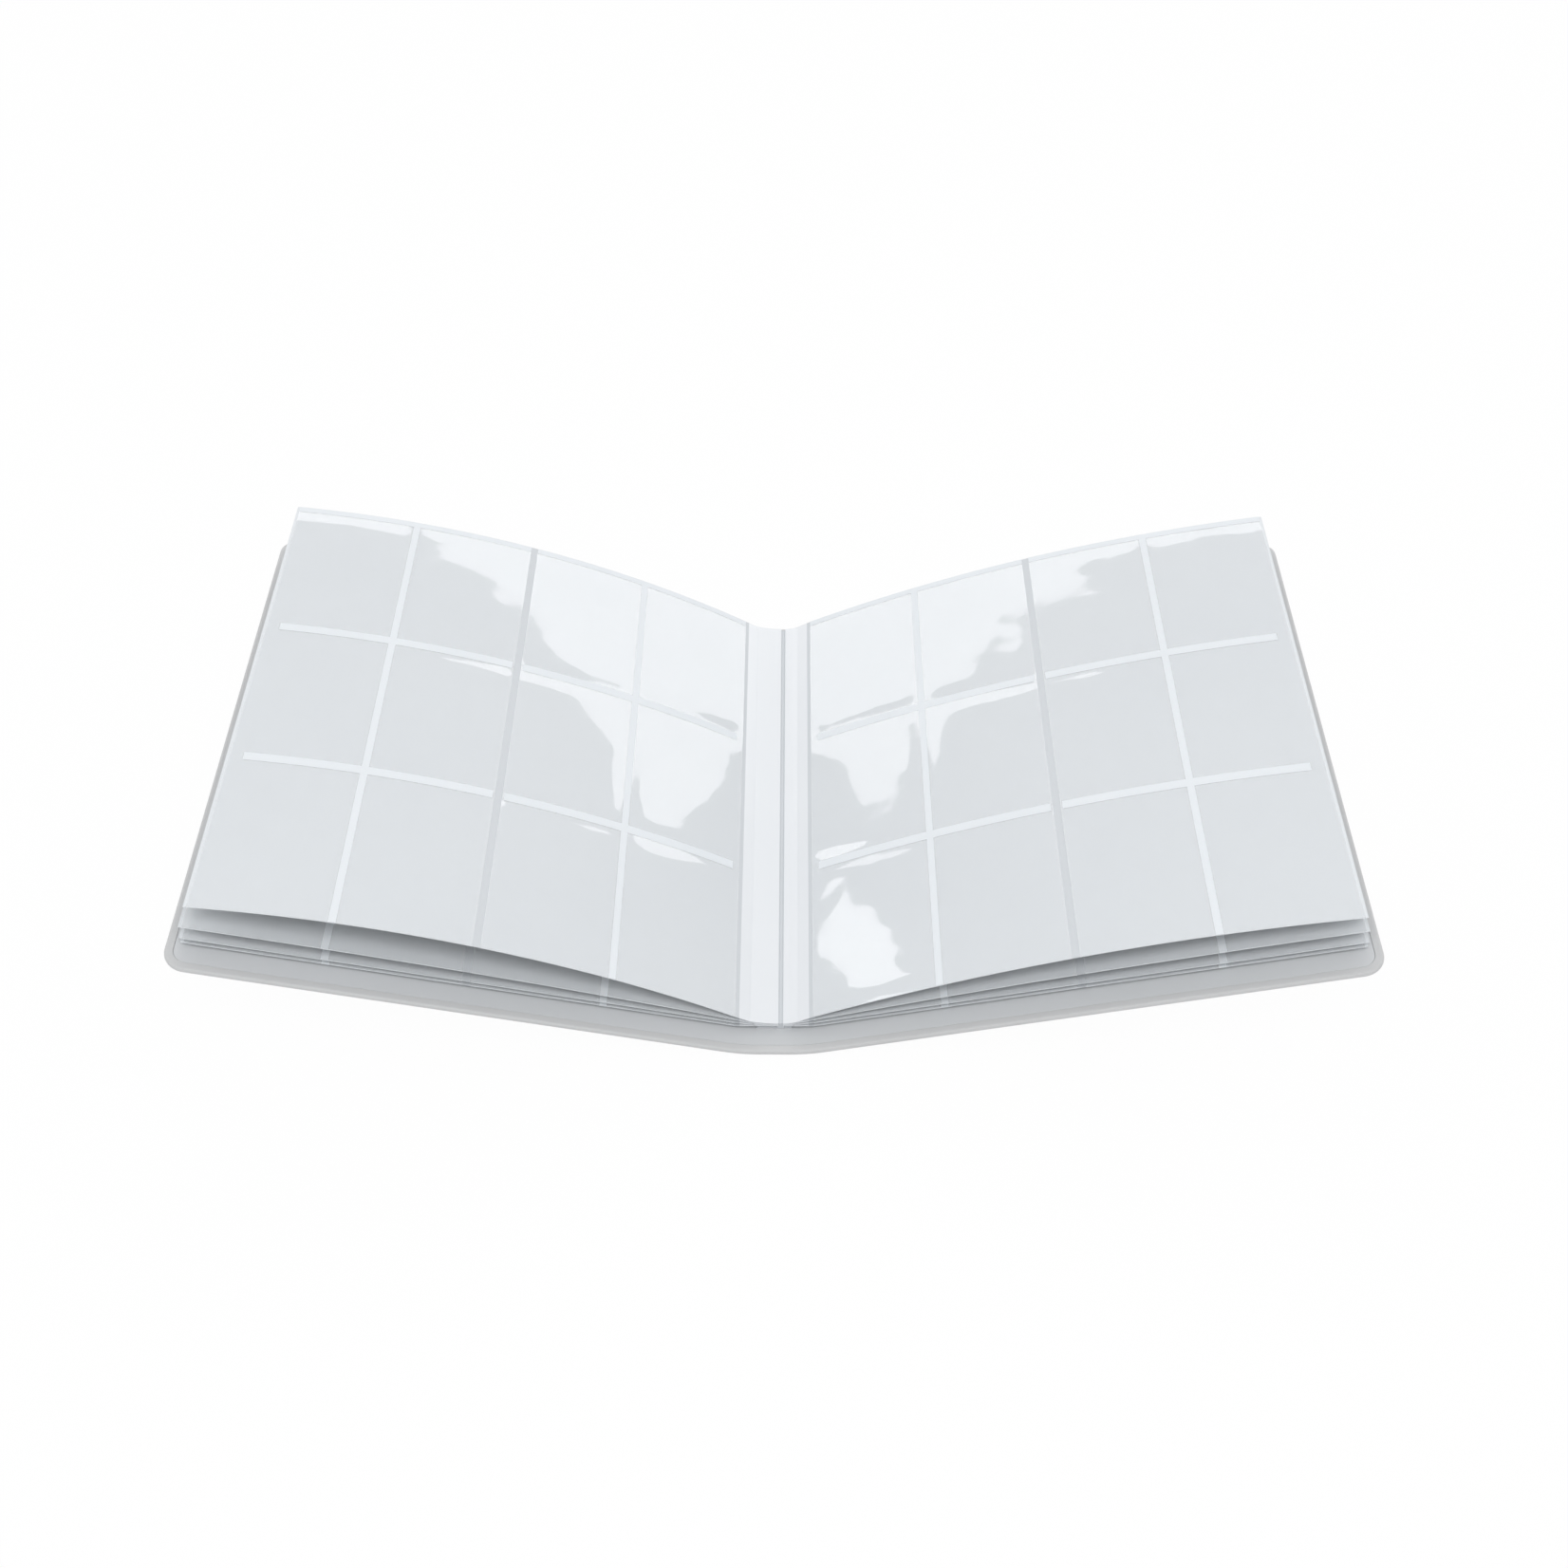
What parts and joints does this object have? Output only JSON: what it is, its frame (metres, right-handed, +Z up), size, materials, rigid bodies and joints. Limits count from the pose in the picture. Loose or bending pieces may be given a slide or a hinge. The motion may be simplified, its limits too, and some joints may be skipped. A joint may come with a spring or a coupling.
{
  "type": "trading card album",
  "caption": "Open soft-cover album with side-loading pocket leaves for trading cards, lying on its spine with both halves raised.",
  "frame": {"origin": "centre of the spine's flat underside, on the surface the album lies on", "axes": "+Z up from the table, +Y along the spine from the near (bottom) edge of the pages to the far (top) edge, +X towards the right half"},
  "size_m": [0.5926, 0.314, 0.1061],
  "materials": {
    "cover_skin": "soft pale grey foamed plastic, fine grain",
    "cover_board": "plain greyboard",
    "cover_lining": "smooth satin",
    "fold_rib": "heat-welded satin",
    "core_sheet": "white satin sheet",
    "pocket_film": "clear glossy film"
  },
  "bodies": {
    "spine": {"spine_skin": "cover_skin", "spine_board": "cover_board", "spine_lining": "cover_lining", "welded_fold_rib": "fold_rib"},
    "left_cover": {"left_cover_skin": "cover_skin", "left_cover_board": "cover_board", "left_cover_lining": "cover_lining"},
    "left_leaf_4": {"left_leaf_4_core_sheet": "core_sheet", "left_leaf_4_front_inner_film": "pocket_film", "left_leaf_4_front_outer_film": "pocket_film", "left_leaf_4_back_inner_film": "pocket_film", "left_leaf_4_back_outer_film": "pocket_film"},
    "left_leaf_3": {"left_leaf_3_core_sheet": "core_sheet", "left_leaf_3_front_inner_film": "pocket_film", "left_leaf_3_front_outer_film": "pocket_film", "left_leaf_3_back_inner_film": "pocket_film", "left_leaf_3_back_outer_film": "pocket_film"},
    "left_leaf_2": {"left_leaf_2_core_sheet": "core_sheet", "left_leaf_2_front_inner_film": "pocket_film", "left_leaf_2_front_outer_film": "pocket_film", "left_leaf_2_back_inner_film": "pocket_film", "left_leaf_2_back_outer_film": "pocket_film"},
    "left_leaf_1": {"left_leaf_1_core_sheet": "core_sheet", "left_leaf_1_front_inner_film": "pocket_film", "left_leaf_1_front_outer_film": "pocket_film", "left_leaf_1_back_inner_film": "pocket_film", "left_leaf_1_back_outer_film": "pocket_film"},
    "right_cover": {"right_cover_skin": "cover_skin", "right_cover_board": "cover_board", "right_cover_lining": "cover_lining"},
    "right_leaf_4": {"right_leaf_4_core_sheet": "core_sheet", "right_leaf_4_front_inner_film": "pocket_film", "right_leaf_4_front_outer_film": "pocket_film", "right_leaf_4_back_inner_film": "pocket_film", "right_leaf_4_back_outer_film": "pocket_film"},
    "right_leaf_3": {"right_leaf_3_core_sheet": "core_sheet", "right_leaf_3_front_inner_film": "pocket_film", "right_leaf_3_front_outer_film": "pocket_film", "right_leaf_3_back_inner_film": "pocket_film", "right_leaf_3_back_outer_film": "pocket_film"},
    "right_leaf_2": {"right_leaf_2_core_sheet": "core_sheet", "right_leaf_2_front_inner_film": "pocket_film", "right_leaf_2_front_outer_film": "pocket_film", "right_leaf_2_back_inner_film": "pocket_film", "right_leaf_2_back_outer_film": "pocket_film"},
    "right_leaf_1": {"right_leaf_1_core_sheet": "core_sheet", "right_leaf_1_front_inner_film": "pocket_film", "right_leaf_1_front_outer_film": "pocket_film", "right_leaf_1_back_inner_film": "pocket_film", "right_leaf_1_back_outer_film": "pocket_film"}
  },
  "joints": [
    {"name": "left_cover_hinge", "type": "hinge", "parent": "spine", "child": "left_cover", "pos_m": [-0.017, 0, 0], "axis": [0, -1, 0], "range_deg": [-67, 14.7]},
    {"name": "left_leaf_4_crease", "type": "hinge", "parent": "spine", "child": "left_leaf_4", "pos_m": [-0.01, 0, 0.0069], "axis": [0, -1, 0], "range_deg": [-67, 14.7]},
    {"name": "left_leaf_3_crease", "type": "hinge", "parent": "left_leaf_4", "child": "left_leaf_3", "pos_m": [-0.0109, 0, 0.0082], "axis": [0, 1, 0], "range_deg": [0, 5]},
    {"name": "left_leaf_2_crease", "type": "hinge", "parent": "left_leaf_3", "child": "left_leaf_2", "pos_m": [-0.0116, 0, 0.0095], "axis": [0, 1, 0], "range_deg": [0, 8]},
    {"name": "left_leaf_1_crease", "type": "hinge", "parent": "left_leaf_2", "child": "left_leaf_1", "pos_m": [-0.0123, 0, 0.0108], "axis": [0, 1, 0], "range_deg": [0, 60]},
    {"name": "right_cover_hinge", "type": "hinge", "parent": "spine", "child": "right_cover", "pos_m": [0.017, 0, 0], "axis": [0, 1, 0], "range_deg": [-67, 14.7]},
    {"name": "right_leaf_4_crease", "type": "hinge", "parent": "spine", "child": "right_leaf_4", "pos_m": [0.01, 0, 0.0069], "axis": [0, 1, 0], "range_deg": [-67, 14.7]},
    {"name": "right_leaf_3_crease", "type": "hinge", "parent": "right_leaf_4", "child": "right_leaf_3", "pos_m": [0.0109, 0, 0.0082], "axis": [0, -1, 0], "range_deg": [0, 5]},
    {"name": "right_leaf_2_crease", "type": "hinge", "parent": "right_leaf_3", "child": "right_leaf_2", "pos_m": [0.0116, 0, 0.0095], "axis": [0, -1, 0], "range_deg": [0, 8]},
    {"name": "right_leaf_1_crease", "type": "hinge", "parent": "right_leaf_2", "child": "right_leaf_1", "pos_m": [0.0123, 0, 0.0108], "axis": [0, -1, 0], "range_deg": [0, 60]}
  ],
  "couplings": [
    {"joint": "left_leaf_4_crease", "follows": "left_cover_hinge", "ratio": 1},
    {"joint": "right_leaf_4_crease", "follows": "right_cover_hinge", "ratio": 1}
  ]
}
